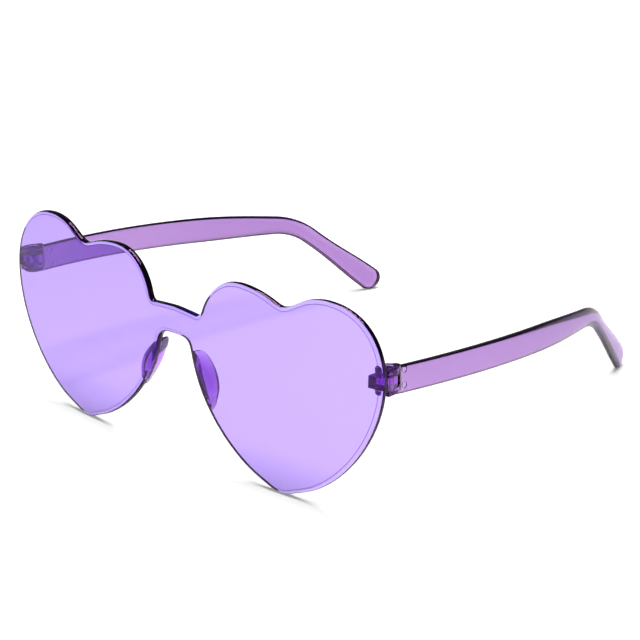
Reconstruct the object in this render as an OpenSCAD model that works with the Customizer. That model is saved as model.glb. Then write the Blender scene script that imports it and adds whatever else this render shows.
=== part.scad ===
// Heart shaped sunglasses: a one-piece rimless shield of clear violet plastic, with nose pads and hinge
// blocks moulded separately and bonded to its back, and two folding arms, each on one plastic pin.
// X runs to the wearer's left, Y from the front to the ears, Z up. The origin is on the surface that the
// open glasses stand on, under the middle of their bounding box.

/* [Shield] */
// Width of the shield over both hearts
lens_w = 148; // [135:1:160]
// Height of each heart, from the top of its outer lobe to its point
heart_h = 58.7; // [54:0.1:64]
// Width of the straight top of the bridge between its two notches
bridge_w = 17.2; // [15:0.1:19]
// Height of the bridge at its middle
bridge_h = 8.3; // [6:0.1:10]
// Gap for the nose, measured where the hearts' inner edges turn downward
nose_gap = 15; // [13.5:0.1:17]
// Thickness of the shield
lens_t = 2; // [1.6:0.1:2.6]
// Radius of the ball that the shield's front face lies on
lens_r = 560; // [400:10:900]
// Lean of the shield, its top toward the wearer
lens_tilt = 4; // [1:0.5:6]

/* [Nose pads] */
// Height of a nose pad along the nasal edge
pad_h = 16.2; // [13:0.1:18]
// Drop from the top of the bridge to the top of a nose pad
pad_drop = 11.4; // [10.5:0.1:13]
// Greatest width of a pad's foot on the shield
pad_w = 4.8; // [4:0.1:5.6]
// Greatest depth of a pad behind the shield
pad_depth = 4.5; // [3.5:0.1:6]
// Lean of the face that meets the nose
pad_lean = 12; // [6:1:16]

/* [Hinges] */
// Radius of the hinge knuckles
knuckle_r = 2.8; // [2.5:0.1:3.1]
// Height of the whole hinge
hinge_h = 7.1; // [6.5:0.1:7.6]
// Height of the slot between the arm's two knuckles
slot_h = 3.5; // [3:0.1:4]
// Drop from the top of the bridge to the top of the hinge
hinge_drop = 1.5; // [1:0.1:3]
// Diameter of the hinge pin's shank
pin_d = 1.6; // [1.3:0.1:1.9]
// Diameter of the pin's head
head_d = 2.3; // [2.1:0.1:2.6]
// Thickness of the pin's head
head_h = 0.6; // [0.4:0.1:1]

/* [Arms] */
// Thickness of an arm at its front
arm_t = 2.2; // [1.8:0.1:2.6]
// Thickness of an arm at its tip
tip_t = 2.6; // [2:0.1:3.2]
// Drop from the middle of the hinge to the middle of an arm's front
arm_drop = 0.9; // [0.6:0.1:1.4]
// Height of an arm just behind its hinge
arm_h = 7.8; // [7.4:0.1:8.6]
// Greatest height of an arm, in front of its bend
belly_h = 8.1; // [7.6:0.1:9]
// Height of an arm at the neck behind its bend
neck_h = 5.4; // [5:0.1:6.4]
// Height of an arm at its rounded tip
tip_h = 7.6; // [6.6:0.1:8.6]
// Radius of the bow of an arm, seen from above
arm_r = 240; // [220:5:320]
// Distance behind the bridge at which the arms are widest apart
bow_y = 38; // [30:1:46]
// Distance behind the bridge at which the bow ends and an arm runs straight to its tip, seen from above
tail_y = 116; // [108:1:122]
// Distance behind the bridge at which an arm is highest
belly_y = 75; // [65:1:82]
// Distance behind the bridge at which an arm begins to bend down
bend_y = 103.5; // [97:0.5:107]
// Radius of the bend over the ear
bend_r = 24; // [20:1:30]
// Downward slope of an arm at its front
front_slope = 4.6; // [4:0.2:6]
// Downward slope of an arm where its bend begins
arm_slope = 8.2; // [7.4:0.2:9.4]
// Downward slope of an arm behind the bend
tip_slope = 41.5; // [40:0.5:46]
// Diameter of the two round marks that the mould's ejectors leave inside an arm
mark_d = 1.8; // [1.4:0.1:2.2]
// Distance between the middles of the two marks
mark_pitch = 4.3; // [3.6:0.1:5]
// Distance from the hinge pin back to the marks
mark_back = 6.1; // [5.4:0.1:8]
// Depth of the marks
mark_depth = 0.15; // [0.1:0.05:0.3]

/* [Clearances] */
// Radial play of the pin in the hinge block
bore_play = 0.05; // [0.03:0.01:0.08]
// Radial play of the pin, and of its head, in the arm's knuckles
pin_fit = 0.01; // [0.01:0.01:0.03]
// Play of the hinge block in the slot, above and below
slot_play = 0.05; // [0.03:0.01:0.1]
// Gap between the round of a knuckle or hinge block and what turns past it
turn_gap = 0.15; // [0.1:0.01:0.3]
// Gap at the square corner that stops an arm when it is open
stop_gap = 0.1; // [0.05:0.01:0.15]

/* [Hidden] */

half_w = lens_w / 2;
overrun = lens_t / 2;
reach = lens_w;
fine = 360;
round_fn = 96;

// Steps along each curve of the heart's outline, along an arm and along a nose pad
curve_steps = 9;
arm_steps = 12;
plan_steps = 26;
tail_steps = 5;
root_steps = 8;
pad_steps = 22;

// One row for each turning point of a heart's outline: across as a share of half the width, up as a share
// of the heart's height, direction in degrees, and the curve's pull before and after as shares of that height
heart_shares = [
    [0.139, 0.020, 74, 0.015, 0.068],
    [0.332, 0.210, 0, 0.150, 0.145],
    [0.531, 0.159, 0, 0.034, 0.075],
    [0.743, 0.244, 0, 0.152, 0.227],
    [1, -0.079, -90, 0.155, 0.283],
    [0.635, -0.723, -162, 0.233, 0.051],
    [0.543, -0.756, -180, 0.051, 0.051],
    [0.453, -0.725, -200, 0.051, 0.184]
];
// The same for the bridge's top, notch and arch and for the nasal edge; their places across are named sizes
top_pull_share = 0.022;
notch_share = [-0.010, -6, 0.051, 0.015];
nasal_share = [-0.261, -252, 0.239, 0.109];
arch_pull_share = 0.110;

function heart_point(s) = [s[0] * half_w, s[1] * heart_h, s[2], s[3] * heart_h, s[4] * heart_h];
function edge_point(x, s) = [x, s[0] * heart_h, s[1], s[2] * heart_h, s[3] * heart_h];

heart_points = [for (s = heart_shares) heart_point(s)];
nasal_point = edge_point(nose_gap / 2, nasal_share);
turning_points = concat(
    [[0, 0, 0, 0, top_pull_share * heart_h], edge_point(bridge_w / 2, notch_share)],
    heart_points,
    [nasal_point, [0, -bridge_h, -180, arch_pull_share * heart_h, 0]]);

// A smooth curve between two turning points, without its last point
function toward(angle, length) = length * [cos(angle), sin(angle)];
function bezier(a, b, c, d, t) =
    pow(1 - t, 3) * a + 3 * pow(1 - t, 2) * t * b + 3 * (1 - t) * pow(t, 2) * c + pow(t, 3) * d;
function curve(p, q) = [for (i = [0 : curve_steps - 1])
    bezier([p[0], p[1]], [p[0], p[1]] + toward(p[2], p[4]),
           [q[0], q[1]] - toward(q[2], q[3]), [q[0], q[1]], i / curve_steps)];

half_outline = [for (k = [0 : len(turning_points) - 2]) each curve(turning_points[k], turning_points[k + 1])];
arch_point = [[0, -bridge_h]];
mirrored_outline = [for (i = [len(half_outline) - 1 : -1 : 1]) [-half_outline[i][0], half_outline[i][1]]];
outline = concat(half_outline, arch_point, mirrored_outline);

// The nasal edge runs from the heart's point up to the arch; across is looked up by height
nasal_edge = [for (p = curve(heart_points[len(heart_points) - 1], nasal_point)) [p[1], p[0]]];
arch_edge = [for (p = curve(nasal_point, turning_points[len(turning_points) - 1])) [p[1], p[0]]];
nasal_table = concat(nasal_edge, arch_edge);
function nasal_x(h) = lookup(h, nasal_table);

// How far back a face of the shield lies at a place on it, in the shield's own upright frame; its front
// face has depth 0 and its back face has depth lens_t
function face_y(x, h, depth) = lens_r - sqrt(pow(lens_r - depth, 2) - pow(x, 2) - pow(h, 2));
// The same place after the shield is tilted
function tilted_y(x, h, depth) = face_y(x, h, depth) * cos(lens_tilt) + h * sin(lens_tilt);
function tilted_z(x, h, depth) = h * cos(lens_tilt) - face_y(x, h, depth) * sin(lens_tilt);

// The surface that the glasses stand on, below the top of the bridge, and the foremost point
floor_z = min([for (p = outline) tilted_z(p[0], p[1], lens_t)]);
front_y = min([for (p = outline) tilted_y(p[0], p[1], 0)]);

// The hinge: its pivot stands behind the shield, with the knuckles flush with the shield's widest point
pivot_x = half_w - knuckle_r;
pivot_y = tilted_y(pivot_x, 0, lens_t) + turn_gap + knuckle_r;
hinge_top = -hinge_drop;
hinge_mid = hinge_top - hinge_h / 2;
stop_y = tilted_y(half_w, 0, lens_t) + stop_gap;
slot_end_y = pivot_y + knuckle_r + 2 * turn_gap;

// The root of an arm blends from its knuckles back to the arm's own thickness
root_flat = knuckle_r / 3;
root_blend = knuckle_r;
root_end_y = pivot_y + root_flat + root_blend;

// An arm seen from the side: a long shallow arc, the bend, and straight to a round tip on the surface
arm_front_y = slot_end_y - turn_gap;
arm_front_z = hinge_mid - arm_drop;
tip_radius = tip_h / 2;
tip_z = floor_z + tip_radius;
sag_r = (bend_y - arm_front_y) / (sin(arm_slope) - sin(front_slope));
sag_centre = [arm_front_y - sag_r * sin(front_slope), arm_front_z - sag_r * cos(front_slope)];
bend_z = sag_centre[1] + sag_r * cos(arm_slope);
bend_centre = [bend_y - bend_r * sin(arm_slope), bend_z - bend_r * cos(arm_slope)];
bend_end = bend_centre + bend_r * [sin(tip_slope), cos(tip_slope)];
tip_y = bend_end[0] + (bend_end[1] - tip_z) / tan(tip_slope);
back_y = tip_y + tip_radius;

// An arm seen from above: its outer face is an arc that is widest at bow_y, flush with the shield, and then
// straight; its inner face follows, and the arm thickens from bow_y to its tip
function ease(a, b, t) = a + (b - a) * (1 - cos(180 * min(max(t, 0), 1))) / 2;
function bow_angle(y) = asin((min(y, tail_y) - bow_y) / arm_r);
function outer_x(y) = half_w - arm_r * (1 - cos(bow_angle(y))) - max(y - tail_y, 0) * tan(bow_angle(y));
function inner_x(y) = outer_x(y) - ease(arm_t, tip_t, (y - bow_y) / (tip_y - bow_y)) / cos(bow_angle(y));
plan_places = concat(
    [arm_front_y - arm_t],
    [for (i = [0 : plan_steps]) root_end_y + (tail_y - root_end_y) * i / plan_steps],
    [for (i = [1 : tail_steps]) tail_y + (back_y + tip_t - tail_y) * i / tail_steps]);
arm_plan = concat(
    [for (y = plan_places) [outer_x(y), y]],
    [for (i = [len(plan_places) - 1 : -1 : 0]) [inner_x(plan_places[i]), plan_places[i]]]);

// Top and bottom edge of an arm at each place along its side view; its height swells to the belly, narrows
// to the neck just behind the bend, and swells again to the tip
neck_y = bend_end[0] + neck_h / 2;
function arm_height(y) =
    y < belly_y ? ease(arm_h, belly_h, (y - arm_front_y) / (belly_y - arm_front_y)) :
    y < neck_y ? ease(belly_h, neck_h, (y - belly_y) / (neck_y - belly_y)) :
    ease(neck_h, tip_h, (y - neck_y) / (tip_y - neck_y));
function edge_pair(c, slope) = let (n = [sin(slope), cos(slope)], r = arm_height(c[0]) / 2) [c + r * n, c - r * n];
arm_stations = concat(
    [for (i = [0 : arm_steps - 1]) let (a = front_slope + (arm_slope - front_slope) * i / arm_steps)
        edge_pair(sag_centre + sag_r * [sin(a), cos(a)], a)],
    [for (i = [0 : arm_steps]) let (a = arm_slope + (tip_slope - arm_slope) * i / arm_steps)
        edge_pair(bend_centre + bend_r * [sin(a), cos(a)], a)],
    [for (i = [1 : arm_steps]) let (t = i / arm_steps)
        edge_pair(bend_end * (1 - t) + [tip_y, tip_z] * t, tip_slope)]);
arm_side = concat([for (s = arm_stations) s[0]], [for (i = [len(arm_stations) - 1 : -1 : 0]) arm_stations[i][1]]);

// The root of an arm seen from above
inner_flat_x = pivot_x - knuckle_r;
function root_y(t) = root_end_y - root_blend * (1 - t);
root_plan = concat(
    [[pivot_x, stop_y], [half_w, stop_y]],
    [for (i = [0 : root_steps]) let (t = i / root_steps) [ease(half_w, outer_x(root_end_y), t), root_y(t)]],
    [for (i = [root_steps : -1 : 0]) let (t = i / root_steps)
        [ease(inner_flat_x, inner_x(root_end_y), t), root_y(t)]],
    [[inner_flat_x, pivot_y], [pivot_x, pivot_y]]);

// A nose pad's foot and depth along its length, from 0 at its top to 1 at its bottom
pad_start_share = 0.02;
pad_end_share = 0.985;
foot_start = 11;
depth_peak_share = 0.58;
rim_share = 0.32;
function pad_foot(s) = pad_w * sin(foot_start + (180 - foot_start) * s);
function pad_back(s) = pad_depth * sqrt(sin(180 * pow(s, depth_peak_share)));
function pad_share(i) = pad_start_share + (pad_end_share - pad_start_share) * (1 - cos(180 * i / pad_steps)) / 2;

violet = [0.79, 0.65, 0.97, 0.75];
deep_violet = [0.62, 0.42, 0.86, 0.85];
arm_violet = [0.74, 0.59, 0.89, 0.8];

// Sets a piece, drawn with the top of the bridge at the origin, in the frame of the finished glasses
module on_surface() {
    translate([0, -(front_y + back_y) / 2, -floor_z]) children();
}

// Leans a piece of the shield's own frame back with the shield
module tilted() {
    rotate([-lens_tilt, 0, 0]) children();
}

// All that lies behind a face of the shield, in the shield's own frame; depth 0 is the front face
module behind_face(depth) {
    translate([0, lens_r, 0]) sphere(r = lens_r - depth, $fn = fine);
}

// Lays what is drawn behind the X-Z plane behind the shield's back face, square to it at one place
module behind_back_at(x, h) {
    translate([x, face_y(x, h, lens_t), h])
        rotate([-asin(h / (lens_r - lens_t)), 0, asin(x / (lens_r - lens_t))])
            translate([0, reach / 2, 0]) children();
}

// A bar along Y whose section is given in the X-Z plane, from start back to end
module bar_back(start, end) {
    translate([0, end, 0]) rotate([90, 0, 0]) linear_extrude(height = end - start) children();
}

module lens_shield() {
    color(violet) on_surface() tilted() difference() {
        intersection() {
            behind_face(0);
            bar_back(-overrun, face_y(half_w, heart_h, lens_t) + lens_t) polygon(outline);
        }
        behind_face(lens_t);
    }
}

// One section of a nose pad at share s of its length, as eight points in the shield's own frame
function pad_section(s) =
    let (h = -pad_drop - pad_h * s, x = nasal_x(h), w = pad_foot(s), d = pad_back(s),
         rim = rim_share * min(w, d), lean = min(d * tan(pad_lean), w / 2), back = face_y(x, h, lens_t) + d,
         bevel = rim * (1 - cos(45)))
    [[x, face_y(x, h, lens_t), h], [x + lean * (1 - rim / d), back - rim, h],
     [x + lean + bevel, back - bevel, h], [x + lean + rim, back, h],
     [x + w - min(rim, (w - lean) / 3), back, h], [x + w - bevel, back - bevel, h],
     [x + w, back - rim, h], [x + w, face_y(x + w, h, lens_t), h]];

// The nose pad on the wearer's left
module nose_pad() {
    sections = [for (i = [0 : pad_steps]) pad_section(pad_share(i))];
    n = len(sections[0]);
    points = [for (s = sections) each s];
    sides = [for (i = [0 : pad_steps - 1], k = [0 : n - 1]) let (a = i * n + k, b = i * n + (k + 1) % n)
        each [[a, b, b + n], [a, b + n, a + n]]];
    caps = [[for (k = [n - 1 : -1 : 0]) k], [for (k = [0 : n - 1]) pad_steps * n + k]];
    polyhedron(points = points, faces = concat(sides, caps), convexity = 4);
}

module nose_pad_left() {
    color(deep_violet) on_surface() tilted() nose_pad();
}

module nose_pad_right() {
    color(deep_violet) mirror([1, 0, 0]) on_surface() tilted() nose_pad();
}

// The hinge block on the wearer's left: a round-ended tongue that stands on the shield's back
module hinge_block() {
    lug_h = slot_h - 2 * slot_play;
    on_surface() difference() {
        intersection() {
            translate([0, 0, hinge_mid - lug_h / 2]) union() {
                translate([pivot_x, pivot_y, 0]) cylinder(r = knuckle_r, h = lug_h, $fn = round_fn);
                translate([pivot_x - knuckle_r, 0, 0]) cube([2 * knuckle_r, pivot_y, lug_h]);
            }
            tilted() behind_back_at(pivot_x, hinge_mid) cube(reach, center = true);
        }
        translate([pivot_x, pivot_y, hinge_mid])
            cylinder(d = pin_d + 2 * bore_play, h = hinge_h, center = true, $fn = round_fn);
    }
}

module hinge_block_left() {
    color(deep_violet) hinge_block();
}

module hinge_block_right() {
    color(deep_violet) mirror([1, 0, 0]) hinge_block();
}

// The blade of an arm: its side view cut by its plan
module blade() {
    intersection() {
        rotate([90, 0, 90]) linear_extrude(height = reach) union() {
            polygon(arm_side);
            translate([tip_y, tip_z]) circle(r = tip_radius, $fn = round_fn);
        }
        translate([0, 0, floor_z - overrun]) linear_extrude(height = reach) polygon(arm_plan);
    }
}

// The root of an arm: two knuckles with a square corner that stops the opening arm at the shield
module root() {
    translate([0, 0, hinge_top - hinge_h]) union() {
        translate([pivot_x, pivot_y, 0]) cylinder(r = knuckle_r, h = hinge_h, $fn = round_fn);
        linear_extrude(height = hinge_h) polygon(root_plan);
    }
}

// The slot for the hinge block, the pin's hole and the seat of its head
module hinge_cuts() {
    translate([inner_flat_x - overrun, 0, hinge_mid - slot_h / 2])
        cube([2 * knuckle_r + 2 * overrun, slot_end_y, slot_h]);
    translate([pivot_x, pivot_y, 0]) {
        translate([0, 0, hinge_mid])
            cylinder(d = pin_d + 2 * pin_fit, h = hinge_h + 2 * overrun, center = true, $fn = round_fn);
        translate([0, 0, hinge_top - head_h])
            cylinder(d = head_d + 2 * pin_fit, h = head_h + overrun, $fn = round_fn);
    }
}

// The two round marks inside each arm, behind the hinge
module ejector_marks() {
    mark_y = pivot_y + mark_back;
    for (side = [-1, 1])
        translate([inner_x(mark_y) - overrun + mark_depth, mark_y, arm_front_z + side * mark_pitch / 2])
            rotate([0, 90, 0]) cylinder(d = mark_d, h = 2 * overrun, center = true, $fn = round_fn);
}

// The arm on the wearer's left
module temple() {
    on_surface() difference() {
        union() {
            blade();
            root();
        }
        hinge_cuts();
        ejector_marks();
    }
}

module temple_left() {
    color(arm_violet) temple();
}

module temple_right() {
    color(arm_violet) mirror([1, 0, 0]) temple();
}

// The hinge pin on the wearer's left, its head flush with the top of the hinge
module hinge_pin() {
    on_surface() translate([pivot_x, pivot_y, hinge_top - hinge_h]) union() {
        cylinder(d = pin_d, h = hinge_h, $fn = round_fn);
        translate([0, 0, hinge_h - head_h]) cylinder(d = head_d, h = head_h, $fn = round_fn);
    }
}

module hinge_pin_left() {
    color(violet) hinge_pin();
}

module hinge_pin_right() {
    color(violet) mirror([1, 0, 0]) hinge_pin();
}

lens_shield();
nose_pad_left();
nose_pad_right();
hinge_block_left();
hinge_block_right();
temple_left();
temple_right();
hinge_pin_left();
hinge_pin_right();
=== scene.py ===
import math

import bmesh
import bpy
import numpy as np
from mathutils import Matrix, Vector
from mathutils.geometry import delaunay_2d_cdt


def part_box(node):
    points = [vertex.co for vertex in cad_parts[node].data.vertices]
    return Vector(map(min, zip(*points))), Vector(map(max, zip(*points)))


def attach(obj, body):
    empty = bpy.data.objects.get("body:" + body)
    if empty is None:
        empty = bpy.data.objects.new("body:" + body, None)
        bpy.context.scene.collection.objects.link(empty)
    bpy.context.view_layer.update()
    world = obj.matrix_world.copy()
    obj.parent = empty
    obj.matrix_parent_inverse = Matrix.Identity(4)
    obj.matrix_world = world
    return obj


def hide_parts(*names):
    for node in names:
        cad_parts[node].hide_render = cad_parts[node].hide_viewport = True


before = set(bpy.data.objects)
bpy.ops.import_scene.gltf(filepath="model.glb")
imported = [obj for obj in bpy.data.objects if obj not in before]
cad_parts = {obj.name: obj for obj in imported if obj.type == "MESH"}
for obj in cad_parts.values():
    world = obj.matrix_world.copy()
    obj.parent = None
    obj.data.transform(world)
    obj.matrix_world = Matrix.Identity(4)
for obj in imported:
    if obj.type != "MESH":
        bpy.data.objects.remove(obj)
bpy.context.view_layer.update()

MM = 0.001
SIDES = (("left", 1), ("right", -1))

# Sizes that the pieces share with the solids, in millimetres and degrees, in the solids' own frame: its
# origin is at the top of the bridge
PIVOT = (71.2, 9.495)
HINGE_TOP = -1.5
HINGE_H = 7.1
SLOT_H = 3.5
KNUCKLE_R = 2.8
HALF_W = 74.0
STOP_Y = 7.012
SLOT_END_Y = 12.595
LENS_R = 560.0
LENS_T = 2.0
LENS_TILT = math.radians(4)
ARM_T = 2.2
TIP_T = 2.6
ARM_FRONT = (12.445, -5.95)
ARM_H, BELLY_H, NECK_H, TIP_H = 7.8, 8.1, 5.4, 7.6
ARM_R, BOW_Y, TAIL_Y = 240.0, 38.0, 116.0
BELLY_Y, BEND_Y, BEND_R = 75.0, 103.5, 24.0
FRONT_SLOPE, ARM_SLOPE, TIP_SLOPE = (math.radians(a) for a in (4.6, 8.2, 41.5))
TIP_CENTRE = (137.331, -40.833)

# The camera: its place from the top of the left hinge pin, its axes and its lens
CAMERA_FROM_PIN = (369.23, -410.97, 223.41)
CAMERA_RIGHT = (0.72382, 0.68996, -0.00564)
CAMERA_UP = (-0.24164, 0.26115, 0.93456)
CAMERA_BACK = (0.64629, -0.67510, 0.35575)
CAMERA_LENS = 128.56

# The studio. Its white surround fades into a dim ceiling between two heights, as sines. A large soft lamp
# hangs over the object, and the floor glows by itself where the lamp's light ends.
HORIZON_GLOW = 0.06
CEILING_START = 0.24
CEILING_LEVEL = 0.12
ROOM_LIGHT = 0.25
LAMP_HEIGHT = 0.9
LAMP_SIZE = 0.7
LAMP_POWER = 13.7
FLOOR_SIZE = 6.0
FLOOR_GAP = 0.05
FLOOR_COLOUR = 0.95
GLOW_START = 0.1
GLOW_END = 0.6
GLOW_LEVEL = 1.05

# What a millimetre of each plastic takes out of red, green and blue light
SHIELD_DYE = (0.385, 0.535, 0.115)
ARM_DYE = (0.43, 0.65, 0.31)
HINGE_DYE = (0.26, 0.54, 0.15)
DEEP_DYE = (0.23, 0.48, 0.12)
# The colour of the light that the plastics' faces reflect
SHEEN_TINT = (0.75, 0.30, 0.80)
# The colours of skins that let less light through. All but the hinge's are painted shade.
PAINTED_EDGE_TINT = (1.0, 0.60, 0.90)
PAINTED_SHADE_TINT = (0.13, 0.06, 0.15)
PAINTED_LINE_TINT = (0.74, 0.66, 0.82)
HINGE_TINT = (0.92, 0.85, 1.0)
CLEAR = (1.0, 1.0, 1.0)
# How rough the skins are, where 0 is a mirror
LENS_ROUGH, LINE_ROUGH, RIM_ROUGH = 0.02, 0.05, 0.08
ARM_ROUGH, EDGE_ROUGH, PAD_ROUGH = 0.04, 0.08, 0.03
# How much a skin's tint and roughness drift between its soft patches, as shares, and how red, green and blue
# take part in the tint's drift
PLASTIC_DRIFT = 0.04
LENS_DRIFT = 0.01
ROUGH_DRIFT = 0.3
DRIFT_SHARES = (1, 1.5, 0.3)
PATCH_SCALE, PATCH_DETAIL = 14.0, 1.0
PATCH_FROM, PATCH_TO = 0.35, 0.65
# The faint ripples in the skins, and how the plastics bend light
RIPPLE_SCALE, RIPPLE_DETAIL = 60.0, 2.0
RIPPLE_STRENGTH, RIPPLE_DEPTH = 0.02, 0.2
PLASTIC_IOR = 1.49

# How meshes are cleaned: corners this near are one, and faces this near to one plane are one
WELD = 0.001
FLAT = math.radians(0.1)
# Edges that turn more than this are rounded, or stay sharp
SHARP = math.radians(50)
ARM_SHARP = math.radians(38)
ROUND_PROFILE = 0.5


def pin_top():
    """The middle of the left hinge pin's top, in metres."""
    low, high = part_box("hinge_pin_left")
    return Vector(((low.x + high.x) / 2, (low.y + high.y) / 2, high.z))


DATUM = pin_top() - Vector((*PIVOT, HINGE_TOP)) * MM
DATUM.x = 0
FROM_SOLIDS = Matrix.Translation(DATUM) @ Matrix.Scale(MM, 4)
FROM_SHIELD = FROM_SOLIDS @ Matrix.Rotation(-LENS_TILT, 4, "X")
TO_SHIELD = FROM_SHIELD.inverted()


def new_object(name, mesh):
    piece = bpy.data.objects.new(name, mesh)
    bpy.context.scene.collection.objects.link(piece)
    return piece


def welded(node):
    """A copy of a CAD node's mesh whose faces share their corners."""
    bm = bmesh.new()
    bm.from_mesh(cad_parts[node].data)
    bmesh.ops.remove_doubles(bm, verts=bm.verts, dist=WELD * MM)
    return bm


def make_flats_whole(bm):
    bmesh.ops.dissolve_limit(bm, angle_limit=FLAT, verts=bm.verts, edges=bm.edges)


def sharp_edges(bm):
    return [e for e in bm.edges if len(e.link_faces) == 2 and e.calc_face_angle(0) > SHARP]


def round_edges(bm, edges, radius, segments):
    bmesh.ops.bevel(bm, geom=edges, offset=radius, segments=segments, profile=ROUND_PROFILE, affect="EDGES")


def plastic(name, dye, roughness, skin=CLEAR, drift=PLASTIC_DRIFT):
    """A clear moulded plastic, dyed through. Its skin drifts in tint and polish and has faint ripples."""
    material = bpy.data.materials.new(name)
    material.use_nodes = True
    nodes = material.node_tree.nodes
    links = material.node_tree.links
    shader = nodes["Principled BSDF"]
    shader.inputs["Transmission Weight"].default_value = 1.0
    shader.inputs["IOR"].default_value = PLASTIC_IOR
    shader.inputs["Specular Tint"].default_value = (*SHEEN_TINT, 1)
    strongest = max(dye)
    inside = nodes.new("ShaderNodeVolumeAbsorption")
    inside.inputs["Color"].default_value = (*(1 - d / strongest for d in dye), 1)
    inside.inputs["Density"].default_value = strongest / MM
    links.new(inside.outputs["Volume"], nodes["Material Output"].inputs["Volume"])
    place = nodes.new("ShaderNodeTexCoord")
    patches = nodes.new("ShaderNodeTexNoise")
    patches.inputs["Scale"].default_value = PATCH_SCALE
    patches.inputs["Detail"].default_value = PATCH_DETAIL
    links.new(place.outputs["Object"], patches.inputs["Vector"])
    ramp = nodes.new("ShaderNodeValToRGB")
    low, high = ramp.color_ramp.elements
    low.position = PATCH_FROM
    low.color = (*(c * (1 - share * drift) for c, share in zip(skin, DRIFT_SHARES)), 1)
    high.position = PATCH_TO
    high.color = (*skin, 1)
    links.new(patches.outputs["Fac"], ramp.inputs["Fac"])
    links.new(ramp.outputs["Color"], shader.inputs["Base Color"])
    polish = nodes.new("ShaderNodeMapRange")
    polish.inputs["To Min"].default_value = roughness * (1 - ROUGH_DRIFT)
    polish.inputs["To Max"].default_value = roughness * (1 + ROUGH_DRIFT)
    links.new(patches.outputs["Fac"], polish.inputs["Value"])
    links.new(polish.outputs["Result"], shader.inputs["Roughness"])
    ripples = nodes.new("ShaderNodeTexNoise")
    ripples.inputs["Scale"].default_value = RIPPLE_SCALE
    ripples.inputs["Detail"].default_value = RIPPLE_DETAIL
    links.new(place.outputs["Object"], ripples.inputs["Vector"])
    bump = nodes.new("ShaderNodeBump")
    bump.inputs["Strength"].default_value = RIPPLE_STRENGTH
    bump.inputs["Distance"].default_value = RIPPLE_DEPTH * MM
    links.new(ripples.outputs["Fac"], bump.inputs["Height"])
    links.new(bump.outputs["Normal"], shader.inputs["Normal"])
    return material


# Points where the solid's outline turns less than this, in degrees, lie on straight stretches between its
# real corners. The smooth outline has this many steps between two corners.
STRAIGHT = 0.2
OUTLINE_STEPS = 8
FACES_FRONT = -0.5


def turning(outline):
    """How many degrees a closed outline turns at each of its points."""
    before = outline - np.roll(outline, 1, 0)
    after = np.roll(outline, -1, 0) - outline
    cross = before[:, 0] * after[:, 1] - before[:, 1] * after[:, 0]
    return np.degrees(np.arctan2(cross, np.sum(before * after, 1)))


def smooth_closed(points, steps):
    """The points and steps - 1 more after each, on a centripetal Catmull-Rom curve through them all."""
    corners = [np.roll(points, shift, 0) for shift in (1, 0, -1, -2)]
    times = [np.zeros(len(points))]
    for a, b in zip(corners, corners[1:]):
        times.append(times[-1] + np.sqrt(np.linalg.norm(b - a, axis=1)))
    rows = []
    for k in range(steps):
        time = times[1] + (times[2] - times[1]) * k / steps
        level = corners
        for reach in (1, 2, 3):
            mixed = []
            for i in range(len(level) - 1):
                start, end = (times[i], times[i + reach]) if reach < 3 else (times[1], times[2])
                share = ((time - start) / (end - start))[:, None]
                mixed.append(level[i] * (1 - share) + level[i + 1] * share)
            level = mixed
        rows.append(level[0])
    return np.stack(rows, 1).reshape(-1, 2)


def shield_outline():
    """The shield's outline in its own upright frame, in millimetres, as a smooth closed curve."""
    bm = welded("lens_shield")
    make_flats_whole(bm)
    bm.transform(TO_SHIELD)
    bm.normal_update()
    front = {f for f in bm.faces if f.normal.y < FACES_FRONT}
    ahead = {}
    for edge in bm.edges:
        if len(edge.link_faces) != 2 or sum(f in front for f in edge.link_faces) != 1:
            continue
        for loop in edge.link_loops:
            if loop.face in front:
                ahead[loop.vert] = loop.link_loop_next.vert
    start = max(ahead, key=lambda v: v.co.x)
    order = [start]
    while ahead[order[-1]] != start:
        order.append(ahead[order[-1]])
    points = np.array([(v.co.x, v.co.z) for v in order])
    bm.free()
    corners = points[np.abs(turning(points)) > STRAIGHT]
    curve = smooth_closed(corners, OUTLINE_STEPS)
    curve[:, 0] = np.clip(curve[:, 0], -HALF_W, HALF_W)
    return curve


def inward_normals(outline):
    """The direction into a closed outline at each of its points."""
    along = np.roll(outline, -1, 0) - np.roll(outline, 1, 0)
    along /= np.linalg.norm(along, axis=1)[:, None]
    area = np.sum(outline[:, 0] * np.roll(outline[:, 1], -1) - outline[:, 1] * np.roll(outline[:, 0], -1))
    return np.stack([-along[:, 1], along[:, 0]], 1) * np.sign(area)


def is_inside(points, outline):
    """Which of the points lie inside a closed outline."""
    inside = np.zeros(len(points), bool)
    for (x0, y0), (x1, y1) in zip(outline, np.roll(outline, -1, 0)):
        crosses = (y0 > points[:, 1]) != (y1 > points[:, 1])
        if y0 != y1:
            inside ^= crosses & (points[:, 0] < x0 + (points[:, 1] - y0) * (x1 - x0) / (y1 - y0))
    return inside


def face_y(x, h, depth):
    """Where the surface lies, front to back, that is a depth behind the shield's front face."""
    return LENS_R - math.sqrt((LENS_R - depth) ** 2 - x * x - h * h)


def on_ball(x, h, depth):
    """A point at a depth behind the shield's front face, and the direction straight out of the back there."""
    point = Vector((x, face_y(x, h, depth), h))
    return point, (Vector((0, LENS_R, 0)) - point).normalized()


# Each ring round the shield: inset from the outline, depth behind the front face, and how its surface faces:
# 0 to the side, -90 to the front, 90 to the back. The strip after the first ring is a faint line of painted
# shade, and the rim is painted dark, as shade, from one ring on.
FRONT_RINGS = ((1.22, 0, -90), (1.08, 0.01, -85), (0.78, 0.05, -73), (0.55, 0.15, -60), (0.32, 0.32, -45),
               (0.15, 0.55, -30), (0.04, 0.82, -15), (0, 1.10, 0))
BACK_RINGS = ((0, 1.45, 0), (0.04, 1.66, 22), (0.16, 1.84, 45), (0.33, 1.96, 67), (0.55, 2.0, 90))
SHADE_PAINTED_FROM = 6
CLEAR_SKIN, PAINTED_RIM_SKIN, PAINTED_LINE_SKIN = range(3)
GRID = 4.0
MESH_MARGIN = 1e-5


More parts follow.
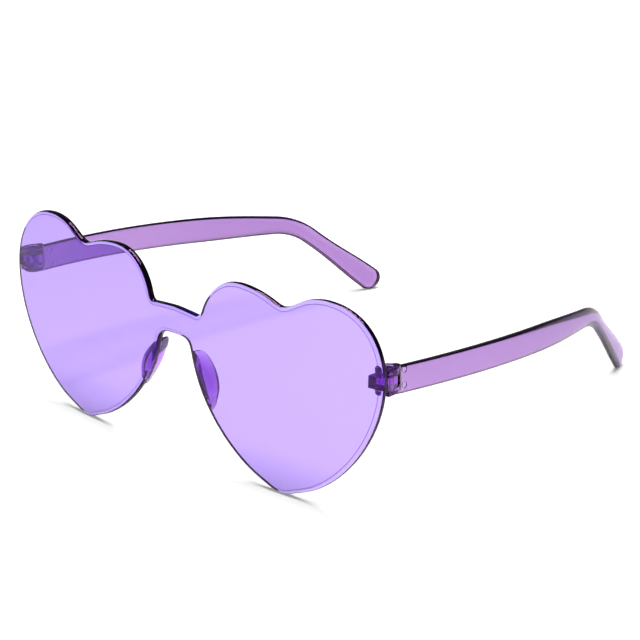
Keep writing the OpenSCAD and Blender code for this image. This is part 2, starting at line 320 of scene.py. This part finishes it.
def strip_skin(k):
    """The skin between ring k of the shield and the next: a painted shade line, clear, or the rim's painted
    shade.
    """
    if k == 0:
        return PAINTED_LINE_SKIN
    return PAINTED_RIM_SKIN if k >= SHADE_PAINTED_FROM else CLEAR_SKIN


def cap_grid(outline):
    """Staggered points inside a closed outline, clear of its edge."""
    low, high = outline.min(0), outline.max(0)
    xs = np.arange(low[0] + GRID / 2, high[0], GRID)
    hs = np.arange(low[1] + GRID / 2, high[1], GRID)
    grid = np.array([(x + (GRID / 2 if k % 2 else 0), h) for k, h in enumerate(hs) for x in xs])
    grid = grid[is_inside(grid, outline)]
    gap = np.min(np.linalg.norm(grid[:, None] - outline[None], axis=2), axis=1)
    return grid[gap > GRID / 2]


def shield_mesh():
    """The shield: strips between the rings of its rim, and an even mesh on its front and on its back."""
    outline = shield_outline()
    inward = inward_normals(outline)
    count = len(outline)
    points, normals, faces, skins = [], [], [], []

    def add(x, h, depth, facing, side):
        """Adds a point, which faces to its side or to the front or back, and gives its number."""
        place, out_back = on_ball(x, h, depth)
        turn = math.radians(facing)
        points.append(place)
        normals.append((side * math.cos(turn) + out_back * math.sin(turn)).normalized())
        return len(points) - 1

    def add_cap(ring, depth, facing):
        """Fills a ring."""
        edge = np.array([(points[i].x, points[i].z) for i in ring])
        cloud = [Vector(p) for p in (*edge, *cap_grid(edge))]
        result = delaunay_2d_cdt(cloud, [], [list(range(count))], 1, MESH_MARGIN)
        places, triangles, sources = result[0], result[2], result[3]
        index = []
        for place, source in zip(places, sources):
            if source and source[0] < count:
                index.append(ring[source[0]])
            else:
                index.append(add(place.x, place.y, depth, facing, Vector((0, 0, 0))))
        for triangle in triangles:
            corner = [index[i] for i in triangle]
            a, b, c = (points[i] for i in corner[:3])
            if ((b - a).cross(c - a).y < 0) != (facing < 0):
                corner.reverse()
            faces.append(corner)
            skins.append(CLEAR_SKIN)

    rings = []
    for inset, depth, facing in FRONT_RINGS + BACK_RINGS:
        ring = []
        for (x, h), n in zip(outline, inward):
            side = Vector((-n[0], 0, -n[1]))
            ring.append(add(x + n[0] * inset, h + n[1] * inset, depth, facing, side))
        rings.append(ring)
    for k in range(len(rings) - 1):
        for i in range(count):
            j = (i + 1) % count
            faces.append([rings[k][j], rings[k][i], rings[k + 1][i], rings[k + 1][j]])
            skins.append(strip_skin(k))
    add_cap(rings[0], 0, -90)
    add_cap(rings[-1], LENS_T, 90)
    mesh = bpy.data.meshes.new("shield")
    mesh.from_pydata(points, [], faces)
    mesh.polygons.foreach_set("use_smooth", [True] * len(faces))
    mesh.polygons.foreach_set("material_index", skins)
    mesh.normals_split_custom_set_from_vertices(normals)
    mesh.transform(FROM_SHIELD)
    mesh.update()
    return mesh


def make_shield():
    shield = new_object("shield", shield_mesh())
    shield.data.materials.append(plastic("clear violet", SHIELD_DYE, LENS_ROUGH, drift=LENS_DRIFT))
    # The rim's skin is painted dark, as shade.
    shield.data.materials.append(plastic("rim painted shade violet", SHIELD_DYE, RIM_ROUGH, PAINTED_SHADE_TINT))
    # The line's skin paints a faint line of shade inside the outline.
    shield.data.materials.append(plastic("line painted shade violet", SHIELD_DYE, LINE_ROUGH, PAINTED_LINE_TINT))
    shield.visible_diffuse = False
    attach(shield, "front")
    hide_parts("lens_shield")


# An arm's edges are rounded, a little at its front and like an ellipse at its rear: how far the rounding
# reaches along its height, and its share of half its thickness, and the turns at which it is divided
EDGE_REACH = (0.80, 2.4)
EDGE_SHARE = (0.55, 0.88)
EDGE_TURNS = tuple(math.radians(a) for a in (0, 15, 30, 45, 60, 75, 90))
# The strips next to each narrow edge that get a skin painted darker, as shade on the rounded edges
PAINTED_EDGE_STRIPS = 3
REAR_FROM, REAR_TO = 30.0, 112.0
# How many steps follow the arm's sag, its bend, its tail and its round tip
SAG_STEPS, BEND_STEPS, TAIL_STEPS, TIP_STEPS = 36, 18, 12, 14
# The root of an arm: the flat behind its knuckle, where it ends in the blade, its tail there, its bevel, and
# how finely it is divided
ROOT_FLAT = KNUCKLE_R / 3
ROOT_END_Y = PIVOT[1] + ROOT_FLAT + KNUCKLE_R
ROOT_STEPS = 8
KNUCKLE_STEPS = 22
ROOT_TAIL = 0.35
ROOT_BEVEL = 0.18
ROOT_BEVEL_STEPS = 3
# The bores for the hinge pin and its head
PIN_BORE_R = 0.81
HEAD_BORE_R = 1.16
HEAD_H = 0.6
BORE_STEPS = 40
# The two round marks on an arm's inner face: diameter, distance apart, distance behind the pivot and depth
MARK_D, MARK_PITCH, MARK_BACK, MARK_DEPTH = 1.8, 4.3, 6.1, 0.3
MARK_STEPS = 24
CUTTER_ABOVE = 1.0
# An arm's skins: its flat faces, its narrow edges painted with shade, its root, and its marks' walls painted
# dark as shade
FLAT_SKIN, PAINTED_EDGE_SKIN, ROOT_SKIN, PAINTED_MARK_SKIN = range(4)


def ease(a, b, t):
    """From a to b as t goes from 0 to 1, with a soft start and end."""
    return a + (b - a) * (1 - math.cos(math.pi * min(max(t, 0), 1))) / 2


def bow_angle(y):
    """How far an arm has turned inward at a place along it."""
    return math.asin((min(y, TAIL_Y) - BOW_Y) / ARM_R)


def outer_x(y):
    """Where the outer face of the left arm lies."""
    return HALF_W - ARM_R * (1 - math.cos(bow_angle(y))) - max(y - TAIL_Y, 0) * math.tan(bow_angle(y))


def thickness_x(y):
    """An arm's thickness along X."""
    return ease(ARM_T, TIP_T, (y - BOW_Y) / (TIP_CENTRE[0] - BOW_Y)) / math.cos(bow_angle(y))


def side_stations():
    """Places along an arm's side view: centre (y, z), slope and half the height."""
    def arc(centre, radius, start, end, steps, last):
        count = steps + 1 if last else steps
        for k in range(count):
            a = start + (end - start) * k / steps
            yield (centre[0] + radius * math.sin(a), centre[1] + radius * math.cos(a)), a

    sag_r = (BEND_Y - ARM_FRONT[0]) / (math.sin(ARM_SLOPE) - math.sin(FRONT_SLOPE))
    sag_centre = (ARM_FRONT[0] - sag_r * math.sin(FRONT_SLOPE), ARM_FRONT[1] - sag_r * math.cos(FRONT_SLOPE))
    bend_z = sag_centre[1] + sag_r * math.cos(ARM_SLOPE)
    bend_centre = (BEND_Y - BEND_R * math.sin(ARM_SLOPE), bend_z - BEND_R * math.cos(ARM_SLOPE))
    bend_end = (bend_centre[0] + BEND_R * math.sin(TIP_SLOPE), bend_centre[1] + BEND_R * math.cos(TIP_SLOPE))
    neck_y = bend_end[0] + NECK_H / 2
    places = list(arc(sag_centre, sag_r, FRONT_SLOPE, ARM_SLOPE, SAG_STEPS, False))
    places += arc(bend_centre, BEND_R, ARM_SLOPE, TIP_SLOPE, BEND_STEPS, True)
    for k in range(1, TAIL_STEPS + 1):
        t = k / TAIL_STEPS
        places.append(((bend_end[0] + (TIP_CENTRE[0] - bend_end[0]) * t,
                        bend_end[1] + (TIP_CENTRE[1] - bend_end[1]) * t), TIP_SLOPE))
    for (y, z), slope in places:
        if y < BELLY_Y:
            height = ease(ARM_H, BELLY_H, (y - ARM_FRONT[0]) / (BELLY_Y - ARM_FRONT[0]))
        elif y < neck_y:
            height = ease(BELLY_H, NECK_H, (y - BELLY_Y) / (neck_y - BELLY_Y))
        else:
            height = ease(NECK_H, TIP_H, (y - neck_y) / (TIP_CENTRE[0] - neck_y))
        yield (y, z), slope, height / 2


def blade_skin(strip):
    """The skin of a strip of the blade, counted from its narrow edge: painted shade near the edge."""
    return PAINTED_EDGE_SKIN if strip < PAINTED_EDGE_STRIPS else FLAT_SKIN


def blade_mesh():
    """The blade of an arm: an outer and an inner face that follow its side view and meet at rounded edges."""
    bm = bmesh.new()

    def insets(middle_y):
        reach = ease(*EDGE_REACH, (middle_y - REAR_FROM) / (REAR_TO - REAR_FROM))
        return [reach * (1 - math.cos(turn)) for turn in EDGE_TURNS]

    def vertex(place, n, offset, turn, face):
        """The point at an offset from the middle of a cross-section, at one turn of the edge's rounding."""
        y, z = place[0] + n[0] * offset, place[1] + n[1] * offset
        whole = thickness_x(y) / 2
        share = ease(*EDGE_SHARE, (place[0] - REAR_FROM) / (REAR_TO - REAR_FROM))
        half = whole * (1 - share + share * math.sin(turn))
        return bm.verts.new((outer_x(y) - whole + face * half, y, z))

    def across(place, slope, half, face):
        """From the top edge to the bottom edge."""
        n = (math.sin(slope), math.cos(slope))
        steps = [(half - d, turn) for d, turn in zip(insets(place[0]), EDGE_TURNS)]
        steps += [(0, EDGE_TURNS[-1])] + [(-offset, turn) for offset, turn in reversed(steps)]
        return [vertex(place, n, offset, turn, face) for offset, turn in steps]

    stations = list(side_stations())
    last = len(EDGE_TURNS)
    edges = {}
    for face in (1, -1):
        rows = [across(*s, face) for s in stations]
        quads, skins = [], []
        for a, b in zip(rows, rows[1:]):
            quads += [(a[k], a[k + 1], b[k + 1], b[k]) for k in range(len(a) - 1)]
            skins += [blade_skin(min(k, len(a) - 2 - k)) for k in range(len(a) - 1)]
        (cy, cz), slope, half = stations[-1]
        fans = [rows[-1][:last]]
        for i in range(1, TIP_STEPS):
            turn = math.pi * i / TIP_STEPS
            n = (math.sin(slope + turn), math.cos(slope + turn))
            steps = zip(insets(cy), EDGE_TURNS)
            fans.append([vertex((cy, cz), n, half - d, edge_turn, face) for d, edge_turn in steps])
        fans.append(rows[-1][:last:-1])
        middle = rows[-1][last]
        for a, b in zip(fans, fans[1:]):
            quads += [(a[k], a[k + 1], b[k + 1], b[k]) for k in range(last - 1)]
            skins += [blade_skin(k) for k in range(last - 1)]
            quads.append((a[last - 1], middle, b[last - 1]))
            skins.append(FLAT_SKIN)
        for quad, skin in zip(quads, skins):
            bm.faces.new(quad if face > 0 else tuple(reversed(quad))).material_index = skin
        edges[face] = [r[0] for r in rows] + [f[0] for f in fans[1:-1]] + [r[-1] for r in reversed(rows)]
        edges[face, "front"] = rows[0]
    outer, inner = edges[1], edges[-1]
    for k in range(len(outer) - 1):
        bm.faces.new((outer[k], outer[k + 1], inner[k + 1], inner[k])).material_index = PAINTED_EDGE_SKIN
    bm.faces.new(edges[1, "front"] + list(reversed(edges[-1, "front"])))
    bmesh.ops.recalc_face_normals(bm, faces=bm.faces)
    return bm


def root_outline():
    """The root of an arm from above: a round knuckle with a square corner that blends into the blade."""
    crossing = math.asin((STOP_Y - PIVOT[1]) / KNUCKLE_R)
    start_y = PIVOT[1] + ROOT_FLAT
    end_x = outer_x(ROOT_END_Y)
    inner_x = end_x - thickness_x(ROOT_END_Y)
    inner_flat = PIVOT[0] - KNUCKLE_R
    steps = [k / ROOT_STEPS for k in range(ROOT_STEPS + 1)]
    blend_y = [start_y + (ROOT_END_Y - start_y) * t for t in steps]
    outline = [(HALF_W, STOP_Y)]
    outline += [(ease(HALF_W, end_x, t), y) for t, y in zip(steps, blend_y)]
    outline += [(end_x - ROOT_TAIL, ROOT_END_Y + ROOT_TAIL), (inner_x + ROOT_TAIL, ROOT_END_Y + ROOT_TAIL)]
    outline += [(ease(inner_flat, inner_x, t), y) for t, y in zip(reversed(steps), reversed(blend_y))]
    for k in range(KNUCKLE_STEPS + 1):
        a = math.pi + (math.pi + crossing) * k / KNUCKLE_STEPS
        outline.append((PIVOT[0] + KNUCKLE_R * math.cos(a), PIVOT[1] + KNUCKLE_R * math.sin(a)))
    return outline


def prism(outline, low, high):
    """An upright solid over an outline."""
    bm = bmesh.new()
    base = [bm.verts.new((x, y, low)) for x, y in outline]
    bottom = bm.faces.new(base)
    top = bmesh.ops.extrude_face_region(bm, geom=[bottom])["geom"]
    for v in top:
        if isinstance(v, bmesh.types.BMVert):
            v.co.z = high
    bmesh.ops.recalc_face_normals(bm, faces=bm.faces)
    return bm


def circle_outline(x, y, radius, steps):
    turns = [2 * math.pi * k / steps for k in range(steps)]
    return [(x + radius * math.cos(a), y + radius * math.sin(a)) for a in turns]


def to_object(bm, name, skins):
    mesh = bpy.data.meshes.new(name)
    bm.to_mesh(mesh)
    bm.free()
    for skin in skins:
        mesh.materials.append(skin)
    return new_object(name, mesh)


def combine(target, operation, bm, cap_skin=ROOT_SKIN, wall_skin=ROOT_SKIN):
    """Joins an upright solid to target, or cuts it out. Its caps and its walls have skins of target's."""
    for face in bm.faces:
        face.material_index = wall_skin if len(face.verts) == 4 else cap_skin
    other = to_object(bm, "other", target.data.materials)
    change = target.modifiers.new("change", "BOOLEAN")
    change.operation = operation
    change.object = other
    change.solver = "EXACT"
    bpy.context.view_layer.update()
    mesh = bpy.data.meshes.new_from_object(target.evaluated_get(bpy.context.evaluated_depsgraph_get()))
    target.modifiers.clear()
    target.data = mesh
    bpy.data.objects.remove(other)


def add_root(arm):
    """Joins the hinge end to an arm, and cuts the slot between its knuckles and the bores for the pin."""
    root = prism(root_outline(), HINGE_TOP - HINGE_H, HINGE_TOP)
    round_edges(root, sharp_edges(root), ROOT_BEVEL, ROOT_BEVEL_STEPS)
    combine(arm, "UNION", root)
    middle = HINGE_TOP - HINGE_H / 2
    inner, outer = PIVOT[0] - 2 * KNUCKLE_R, PIVOT[0] + 2 * KNUCKLE_R
    slot_box = [(inner, 0), (outer, 0), (outer, SLOT_END_Y), (inner, SLOT_END_Y)]
    combine(arm, "DIFFERENCE", prism(slot_box, middle - SLOT_H / 2, middle + SLOT_H / 2))
    bore = circle_outline(*PIVOT, PIN_BORE_R, BORE_STEPS)
    combine(arm, "DIFFERENCE", prism(bore, HINGE_TOP - 2 * HINGE_H, HINGE_TOP + HINGE_H))
    seat = circle_outline(*PIVOT, HEAD_BORE_R, BORE_STEPS)
    combine(arm, "DIFFERENCE", prism(seat, HINGE_TOP - HEAD_H, HINGE_TOP + HINGE_H))


def cut_marks(arm):
    mark_y = PIVOT[1] + MARK_BACK
    face_x = outer_x(mark_y) - thickness_x(mark_y)
    for up in (-1, 1):
        cutter = prism(circle_outline(0, 0, MARK_D / 2, MARK_STEPS), -CUTTER_ABOVE, MARK_DEPTH)
        spot = Matrix.Translation((face_x, mark_y, ARM_FRONT[1] + up * MARK_PITCH / 2))
        cutter.transform(spot @ Matrix.Rotation(math.pi / 2, 4, "Y"))
        # The marks' walls get a skin painted dark, as shade in the recess
        combine(arm, "DIFFERENCE", cutter, FLAT_SKIN, PAINTED_MARK_SKIN)


def make_arm(side, sign, skins):
    """One arm. Its skins are those of its blade, its narrow edges (painted shade), its root and the walls of
    its marks (painted shade).
    """
    arm = to_object(blade_mesh(), "arm_" + side, skins)
    add_root(arm)
    cut_marks(arm)
    arm.data.transform(Matrix.Scale(sign, 4, (1, 0, 0)))
    if sign < 0:
        arm.data.flip_normals()
    arm.data.transform(FROM_SOLIDS)
    arm.data.polygons.foreach_set("use_smooth", [True] * len(arm.data.polygons))
    arm.data.set_sharp_from_angle(angle=ARM_SHARP)
    arm.visible_diffuse = False
    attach(arm, "arm_" + side)
    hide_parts("temple_" + side)


# The pads and hinge blocks: how near to the shield's back a corner of their foot lies, how deep the foot is
# sunk, the blocks' bevel, and how the pads' triangles are joined and smoothed
FOOT_FOUND = 0.03
FOOT_SUNK = 0.05
BLOCK_BEVEL = 0.15
BLOCK_BEVEL_STEPS = 2
JOINED_FACES, JOINED_SHAPES = 1, 3
PAD_LEVELS = 2


def lens_depth(point):
    """How far behind the shield's front face a point of the shield's frame lies."""
    return LENS_R - (point - Vector((0, LENS_R, 0))).length


def make_bonded(node, material, smoothing):
    """A piece on the shield's back, smoothed or bevelled, with its foot a hair inside the shield."""
    bm = welded(node)
    bm.transform(TO_SHIELD)
    feet = {v for v in bm.verts if abs(lens_depth(v.co) - LENS_T) < FOOT_FOUND}
    for v in feet:
        v.co.y -= FOOT_SUNK
    if smoothing:
        bmesh.ops.join_triangles(bm, faces=bm.faces, angle_face_threshold=JOINED_FACES,
                                 angle_shape_threshold=JOINED_SHAPES)
        crease = bm.edges.layers.float.new("crease_edge")
        for edge in bm.edges:
            if feet.issuperset(edge.verts):
                edge[crease] = 1.0
    else:
        make_flats_whole(bm)
        foot_depth = LENS_T + FOOT_FOUND
        free = [e for e in sharp_edges(bm) if all(lens_depth(v.co) >= foot_depth for v in e.verts)]
        round_edges(bm, free, BLOCK_BEVEL, BLOCK_BEVEL_STEPS)
    bm.transform(FROM_SHIELD)
    mesh = bpy.data.meshes.new(node + "_skin")
    bm.to_mesh(mesh)
    bm.free()
    mesh.polygons.foreach_set("use_smooth", [True] * len(mesh.polygons))
    mesh.set_sharp_from_angle(angle=SHARP)
    mesh.materials.append(material)
    piece = new_object(node + "_clear", mesh)
    if smoothing:
        smooth = piece.modifiers.new("smooth", "SUBSURF")
        smooth.levels = smooth.render_levels = PAD_LEVELS
    piece.visible_diffuse = False
    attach(piece, "front")
    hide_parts(node)


def dress(node, material):
    """Gives a CAD node that stays its material."""
    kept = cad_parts[node]
    kept.data.materials.clear()
    kept.data.materials.append(material)


def make_floor():
    """A white floor that keeps the object's shadow, and that glows by itself farther out."""
    bpy.ops.mesh.primitive_plane_add(size=FLOOR_SIZE, location=(0, 0, -FLOOR_GAP * MM))
    floor = bpy.context.object
    floor.name = "floor"
    material = bpy.data.materials.new("floor")
    material.use_nodes = True
    nodes = material.node_tree.nodes
    links = material.node_tree.links
    nodes.clear()
    output = nodes.new("ShaderNodeOutputMaterial")
    matt = nodes.new("ShaderNodeBsdfDiffuse")
    matt.inputs["Color"].default_value = (FLOOR_COLOUR, FLOOR_COLOUR, FLOOR_COLOUR, 1)
    glow = nodes.new("ShaderNodeEmission")
    level = nodes.new("ShaderNodeMapRange")
    level.inputs["To Min"].default_value = ROOM_LIGHT
    level.inputs["To Max"].default_value = GLOW_LEVEL
    links.new(seen_directly(nodes, links), level.inputs["Value"])
    links.new(level.outputs["Result"], glow.inputs["Strength"])
    place = nodes.new("ShaderNodeTexCoord")
    distance = nodes.new("ShaderNodeVectorMath")
    distance.operation = "LENGTH"
    links.new(place.outputs["Object"], distance.inputs[0])
    away = nodes.new("ShaderNodeMapRange")
    away.interpolation_type = "SMOOTHSTEP"
    away.inputs["From Min"].default_value = GLOW_START
    away.inputs["From Max"].default_value = GLOW_END
    links.new(distance.outputs["Value"], away.inputs["Value"])
    both = nodes.new("ShaderNodeMixShader")
    links.new(away.outputs["Result"], both.inputs["Fac"])
    links.new(matt.outputs["BSDF"], both.inputs[1])
    links.new(glow.outputs["Emission"], both.inputs[2])
    links.new(both.outputs["Shader"], output.inputs["Surface"])
    floor.data.materials.append(material)


def make_surround():
    """A white surround behind the object, with a dim ceiling for what mirrors in it."""
    world = bpy.data.worlds.new("studio")
    bpy.context.scene.world = world
    world.use_nodes = True
    nodes = world.node_tree.nodes
    links = world.node_tree.links
    background = nodes["Background"]
    background.inputs["Color"].default_value = (1, 1, 1, 1)
    place = nodes.new("ShaderNodeTexCoord")
    axes = nodes.new("ShaderNodeSeparateXYZ")
    links.new(place.outputs["Generated"], axes.inputs["Vector"])
    ceiling = nodes.new("ShaderNodeMapRange")
    ceiling.interpolation_type = "SMOOTHSTEP"
    ceiling.inputs["From Min"].default_value = HORIZON_GLOW
    ceiling.inputs["From Max"].default_value = CEILING_START
    ceiling.inputs["To Min"].default_value = 1.0
    ceiling.inputs["To Max"].default_value = CEILING_LEVEL
    links.new(axes.outputs["Z"], ceiling.inputs["Value"])
    path = nodes.new("ShaderNodeLightPath")
    lit = nodes.new("ShaderNodeMix")
    lit.inputs["A"].default_value = ROOM_LIGHT
    links.new(seen_directly(nodes, links), lit.inputs["Factor"])
    links.new(ceiling.outputs["Result"], lit.inputs["B"])
    shown = nodes.new("ShaderNodeMath")
    shown.operation = "MAXIMUM"
    links.new(lit.outputs["Result"], shown.inputs[0])
    links.new(path.outputs["Is Camera Ray"], shown.inputs[1])
    links.new(shown.outputs["Value"], background.inputs["Strength"])


def seen_directly(nodes, links):
    """1 where the camera, a reflection or a refraction sees a surface, and 0 for the light that it gives."""
    path = nodes.new("ShaderNodeLightPath")
    first = nodes.new("ShaderNodeMath")
    first.operation = "MAXIMUM"
    links.new(path.outputs["Is Camera Ray"], first.inputs[0])
    links.new(path.outputs["Is Glossy Ray"], first.inputs[1])
    second = nodes.new("ShaderNodeMath")
    second.operation = "MAXIMUM"
    links.new(first.outputs["Value"], second.inputs[0])
    links.new(path.outputs["Is Transmission Ray"], second.inputs[1])
    return second.outputs["Value"]


def add_lamp(name, place, target, size, power):
    light = bpy.data.lights.new(name, "AREA")
    light.shape = "RECTANGLE"
    light.size, light.size_y = size
    light.energy = power
    lamp = new_object(name, light)
    lamp.location = place
    lamp.rotation_euler = (Vector(target) - Vector(place)).to_track_quat("-Z", "Y").to_euler()


def make_camera():
    data = bpy.data.cameras.new("camera")
    data.sensor_width = 36
    data.lens = CAMERA_LENS
    data.clip_start = 0.01
    camera = new_object("camera", data)
    axes = Matrix((CAMERA_RIGHT, CAMERA_UP, CAMERA_BACK)).transposed().to_4x4()
    camera.matrix_world = Matrix.Translation(pin_top() + Vector(CAMERA_FROM_PIN) * MM) @ axes
    bpy.context.scene.camera = camera


def main():
    make_camera()
    make_floor()
    make_surround()
    add_lamp("overhead", (0, 0, LAMP_HEIGHT), (0, 0, 0), (LAMP_SIZE, LAMP_SIZE), LAMP_POWER)
    make_shield()
    arm_skin = plastic("arm violet", ARM_DYE, ARM_ROUGH)
    # The arms' narrow edges get a skin painted darker, as shade.
    painted_edge_skin = plastic("arm edge painted shade violet", ARM_DYE, EDGE_ROUGH, PAINTED_EDGE_TINT)
    hinge_skin = plastic("hinge violet", HINGE_DYE, ARM_ROUGH, HINGE_TINT)
    deep = plastic("deep violet", DEEP_DYE, PAD_ROUGH)
    # The marks' walls are painted dark, as shade.
    painted_mark_skin = plastic("mark painted shade violet", ARM_DYE, EDGE_ROUGH, PAINTED_SHADE_TINT)
    for side, sign in SIDES:
        make_arm(side, sign, (arm_skin, painted_edge_skin, hinge_skin, painted_mark_skin))
        make_bonded("nose_pad_" + side, deep, True)
        make_bonded("hinge_block_" + side, hinge_skin, False)
        dress("hinge_pin_" + side, arm_skin)
    bpy.context.scene.view_settings.view_transform = "Standard"


main()
